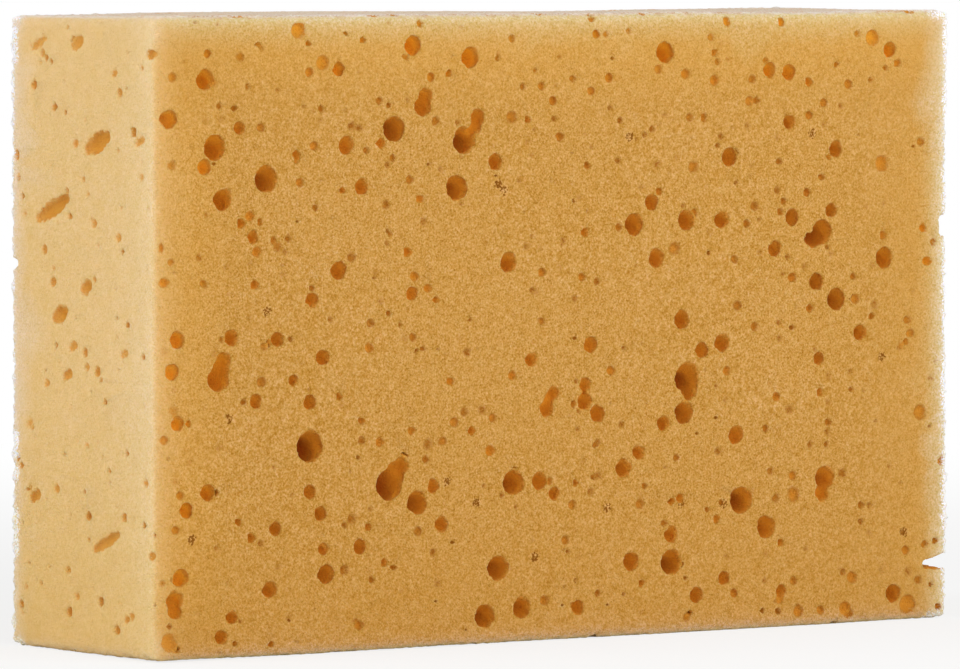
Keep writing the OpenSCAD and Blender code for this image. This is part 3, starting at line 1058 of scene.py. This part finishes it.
    def drift(self, graph: Graph, place: bpy.types.NodeSocket,
              pale: bpy.types.NodeSocket) -> bpy.types.NodeSocket:
        """Builds the slow changes of brightness: clouds, blotches on the cut end, and a painted
        shade at the foot.

        Args:
            graph: The material's nodes.
            place: The point's place in the row frame.
            pale: 1 on the cut left end, and 0 elsewhere.

        Returns:
            The socket that holds them, as a change of brightness around 0.
        """
        cloud = graph.math("MULTIPLY", self.noise(graph, place, self.cloud), self.cloud.strength)
        blotch = self.noise(graph, place, self.blotch)
        blotch = graph.math("MULTIPLY", blotch, self.blotch.strength)
        height = graph.add("SeparateXYZ", {0: place}).outputs["Z"]
        foot = graph.step(height, self.foot_height, 0.0)
        shade = graph.math("MULTIPLY_ADD", pale, -self.foot_shade, -self.foot_shade)
        drift = graph.math("MULTIPLY_ADD", blotch, pale, cloud)
        return graph.math("ADD", drift, graph.math("MULTIPLY", foot, shade))

    def stained(self, graph: Graph, place: bpy.types.NodeSocket) -> bpy.types.NodeSocket:
        """Builds the mask of the small groups of dark cells on the front.

        Args:
            graph: The material's nodes.
            place: The point's place in the row frame.

        Returns:
            The socket that holds it: 1 in the middle of a group, and 0 away from them all.
        """
        low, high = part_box(FOAM_NODE)
        nearest = None
        for x, z in self.stains:
            middle = ((low.x + high.x) / 2 + x * MM, low.y, low.z + z * MM)
            node = graph.add("VectorMath", {0: place, 1: middle}, operation="DISTANCE")
            gap = node.outputs["Value"]
            nearest = graph.math("MINIMUM", nearest, gap) if nearest else gap
        return graph.step(nearest, self.stain_size, self.stain_core)

    def paint(self, colour: Colour) -> tuple[float, ...]:
        """Gives a display colour as the four linear numbers that a colour socket takes."""
        return (*linear(colour), 1.0)

    def noise(self, graph: Graph, place: bpy.types.NodeSocket,
              layer: Speckle) -> bpy.types.NodeSocket:
        """Adds smooth noise around 0.

        Args:
            graph: The material's nodes.
            place: The point's place in the row frame.
            layer: The layer of noise. Its strength isn't applied here.

        Returns:
            The socket that holds it, from about -0.5 to 0.5.
        """
        texture = graph.add("TexNoise", {
            "Vector": place, "Scale": layer.scale, "Detail": layer.detail,
        })
        return graph.math("SUBTRACT", texture.outputs["Fac"], 0.5)

    def bumps(self, graph: Graph, place: bpy.types.NodeSocket,
              cells: bpy.types.Node) -> bpy.types.NodeSocket:
        """Builds the relief of the cells.

        Args:
            graph: The material's nodes.
            place: The point's place in the row frame.
            cells: The layer of fine cells.

        Returns:
            The socket that holds the normal.
        """
        fuzz = self.noise(graph, place, self.fuzz)
        height = graph.math("MULTIPLY_ADD", cells.outputs["Hollow"], -self.cell_sink, fuzz)
        return graph.add("Bump", {"Height": height, "Distance": self.bump}).outputs[0]


@dataclass(frozen=True)
class SoftBox:
    """A square studio lamp that looks at the sponge."""

    name: str
    azimuth: float
    elevation: float
    distance: float
    size: float
    power: float
    colour: Colour = (1.0, 1.0, 1.0)

    def hang(self, target: Vector) -> bpy.types.Object:
        """Hangs the lamp and turns it to the target.

        Args:
            target: The point that the lamp looks at.

        Returns:
            The lamp.
        """
        lamp = bpy.data.lights.new(self.name, "AREA")
        lamp.shape = "SQUARE"
        lamp.size = self.size
        lamp.energy = self.power
        lamp.color = self.colour
        thing = bpy.data.objects.new(self.name, lamp)
        bpy.context.scene.collection.objects.link(thing)
        az, el = math.radians(self.azimuth), math.radians(self.elevation)
        way = Vector((-math.sin(az) * math.cos(el), -math.cos(az) * math.cos(el), math.sin(el)))
        thing.location = target + way * self.distance
        thing.rotation_euler = (-way).to_track_quat("-Z", "Y").to_euler()
        return thing


@dataclass
class Studio:
    """The pale floor, the white surroundings, the lamps and the camera.

    Azimuth 0 looks along +Y, and a camera or lamp at a larger azimuth stands further to the left.
    """

    azimuth: float = 34.94
    elevation: float = 2.75
    distance: float = 1.402
    lens: float = 326.1
    aim_offset: Place = (-1.1 * MM, 0.7 * MM, -2.07 * MM)
    floor_radius: float = 3.0
    floor_fade: tuple[float, float] = (0.12, 0.5)
    floor_colour: Colour = (0.96, 0.96, 0.955)
    floor_white: float = 0.75
    surround: float = 0.45
    lamps: tuple[SoftBox, ...] = (
        SoftBox("front_left", 20, 18, 1.2, 0.7, 4.0),
        SoftBox("front_top", -20, 30, 0.5, 0.35, 0.8),
        SoftBox("side_left", 100, 25, 1.2, 0.7, 4.9),
    )

    def build(self) -> None:
        """Builds all of it around the sponge."""
        low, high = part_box(FOAM_NODE)
        centre = (low + high) / 2
        for lamp in self.lamps:
            lamp.hang(centre)
        self.place_camera(centre + Vector(self.aim_offset))
        self.light_surroundings()
        self.lay_floor(low.z)
        bpy.context.scene.view_settings.view_transform = "Standard"

    def place_camera(self, aim: Vector) -> None:
        """Stands the camera at its distance from the point that it looks at."""
        az, el = math.radians(self.azimuth), math.radians(self.elevation)
        way = Vector((-math.sin(az) * math.cos(el), -math.cos(az) * math.cos(el), math.sin(el)))
        camera = bpy.data.objects.new("camera", bpy.data.cameras.new("camera"))
        camera.data.lens = self.lens
        camera.data.clip_end = 20.0
        camera.location = aim + way * self.distance
        camera.rotation_euler = (-way).to_track_quat("-Z", "Y").to_euler()
        bpy.context.scene.collection.objects.link(camera)
        bpy.context.scene.camera = camera

    def seen(self, graph: Graph) -> bpy.types.NodeSocket:
        """Adds a value that is 1 for rays that show the background as it is, and 0 for light."""
        path = graph.add("LightPath")
        total = graph.math("ADD", path.outputs["Is Camera Ray"], path.outputs["Is Glossy Ray"])
        return graph.math("ADD", total, path.outputs["Is Transmission Ray"], clamp=True)

    def light_surroundings(self) -> None:
        """Makes the surroundings white to the eye, and a soft even light on the sponge."""
        world = bpy.data.worlds.new("surroundings")
        bpy.context.scene.world = world
        world.use_nodes = True
        graph = Graph(world.node_tree)
        strength = graph.add(
            "MapRange", {"Value": self.seen(graph), "To Min": self.surround, "To Max": 1.0},
        ).outputs["Result"]
        sky = graph.add("Background", {"Color": (1.0, 1.0, 1.0, 1.0), "Strength": strength})
        graph.add("OutputWorld", {"Surface": sky.outputs[0]})

    def lay_floor(self, level: float) -> bpy.types.Object:
        """Lays the floor, which turns into the white surroundings away from the sponge.

        Args:
            level: Height that the sponge stands at.

        Returns:
            The floor.
        """
        mesh = bpy.data.meshes.new("floor")
        ring = [
            (self.floor_radius * math.cos(turn), self.floor_radius * math.sin(turn), level)
            for turn in np.linspace(0, 2 * math.pi, 96, endpoint=False)
        ]
        mesh.from_pydata(ring, [], [tuple(range(len(ring)))])
        floor = bpy.data.objects.new("floor", mesh)
        bpy.context.scene.collection.objects.link(floor)
        material = bpy.data.materials.new("floor")
        material.use_nodes = True
        graph = Graph(material.node_tree)
        place = graph.add("TexCoord").outputs["Object"]
        away = graph.add("VectorMath", {0: place}, operation="LENGTH").outputs["Value"]
        fade = graph.step(away, *self.floor_fade)
        far = graph.add("MapRange", {"Value": fade, "To Min": self.floor_white}).outputs["Result"]
        white = graph.add("Emission", {"Color": (1.0, 1.0, 1.0, 1.0)})
        matte = graph.add("BsdfDiffuse", {"Color": (*linear(self.floor_colour), 1.0)})
        share = graph.math("MULTIPLY", far, self.seen(graph))
        blend = graph.add("MixShader", {0: share, 1: matte.outputs[0], 2: white.outputs[0]})
        graph.add("OutputMaterial", {"Surface": blend.outputs[0]})
        mesh.materials.append(material)
        return floor


def main() -> None:
    """Builds the sponge and the studio."""
    logging.basicConfig(level=logging.INFO, format="%(name)s: %(message)s")
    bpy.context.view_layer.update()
    sponge = FoamBlock()
    foam = sponge.build()
    foam.data.materials.clear()
    foam.data.materials.append(FoamFinish().material())
    LOG.info("%s: %d triangles", foam.name, len(foam.data.polygons))
    studio = Studio()
    studio.build()
    LOG.info("studio: floor, %d lamps and the camera", len(studio.lamps))


if __name__ == "__main__":
    main()
